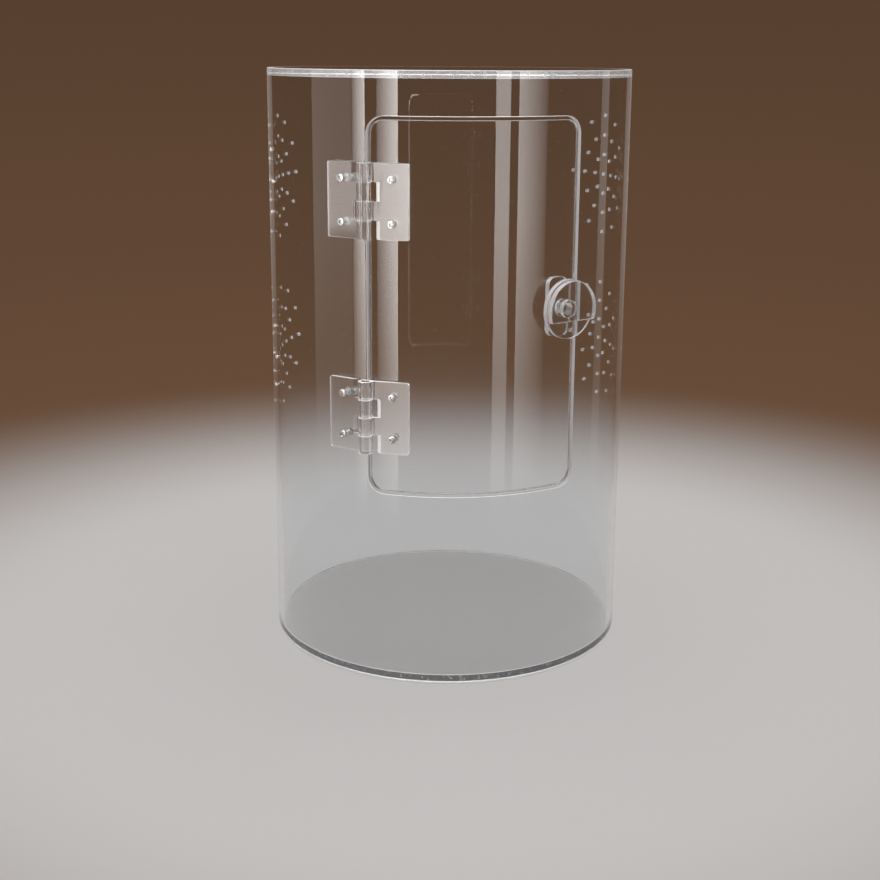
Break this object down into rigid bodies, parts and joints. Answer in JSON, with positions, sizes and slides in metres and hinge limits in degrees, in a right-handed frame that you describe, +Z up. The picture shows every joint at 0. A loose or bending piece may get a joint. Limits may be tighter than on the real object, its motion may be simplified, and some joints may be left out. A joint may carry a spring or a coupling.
{
  "type": "insect terrarium",
  "caption": "Round upright insect terrarium: a clear acrylic tube with drilled vents, a curved front door on clear pinned hinges and a turn latch.",
  "frame": {"origin": "centre of the underside of the base, on the surface that the terrarium stands on", "axes": "+Z up along the tube, -Y out of the middle of the door, +X to the right of someone who faces the door"},
  "size_m": [0.2, 0.2038, 0.32],
  "materials": {
    "tube_acrylic": "clear, polished",
    "door_acrylic": "clear, polished",
    "hinge_plastic": "clear, moulded",
    "latch_acrylic": "clear, cut and polished",
    "plated_steel": "bright zinc plate"
  },
  "bodies": {
    "enclosure": {"tube_wall": "tube_acrylic", "base_disc": "tube_acrylic", "top_disc": "tube_acrylic", "lower_hinge_tube_leaf": "hinge_plastic", "lower_hinge_pin": "hinge_plastic", "lower_hinge_tube_bottom_screw": "plated_steel", "lower_hinge_tube_bottom_nut": "plated_steel", "lower_hinge_tube_top_screw": "plated_steel", "lower_hinge_tube_top_nut": "plated_steel", "upper_hinge_tube_leaf": "hinge_plastic", "upper_hinge_pin": "hinge_plastic", "upper_hinge_tube_bottom_screw": "plated_steel", "upper_hinge_tube_bottom_nut": "plated_steel", "upper_hinge_tube_top_screw": "plated_steel", "upper_hinge_tube_top_nut": "plated_steel"},
    "door": {"door_panel": "door_acrylic", "lower_hinge_door_leaf": "hinge_plastic", "lower_hinge_door_bottom_screw": "plated_steel", "lower_hinge_door_bottom_nut": "plated_steel", "lower_hinge_door_top_screw": "plated_steel", "lower_hinge_door_top_nut": "plated_steel", "upper_hinge_door_leaf": "hinge_plastic", "upper_hinge_door_bottom_screw": "plated_steel", "upper_hinge_door_bottom_nut": "plated_steel", "upper_hinge_door_top_screw": "plated_steel", "upper_hinge_door_top_nut": "plated_steel"},
    "latch": {"latch_knob": "latch_acrylic", "latch_grip": "latch_acrylic", "latch_post": "latch_acrylic", "latch_catch": "latch_acrylic"}
  },
  "joints": [
    {"name": "door_hinge", "type": "hinge", "parent": "enclosure", "child": "door", "pos_m": [-0.05596, -0.08784, 0.201], "axis": [0, 0, -1], "range_deg": [0, 150]},
    {"name": "latch_turn", "type": "hinge", "parent": "door", "child": "latch", "pos_m": [0.04618, -0.0887, 0.201], "axis": [-0.4617, 0.887, 0], "range_deg": [0, 90]}
  ]
}
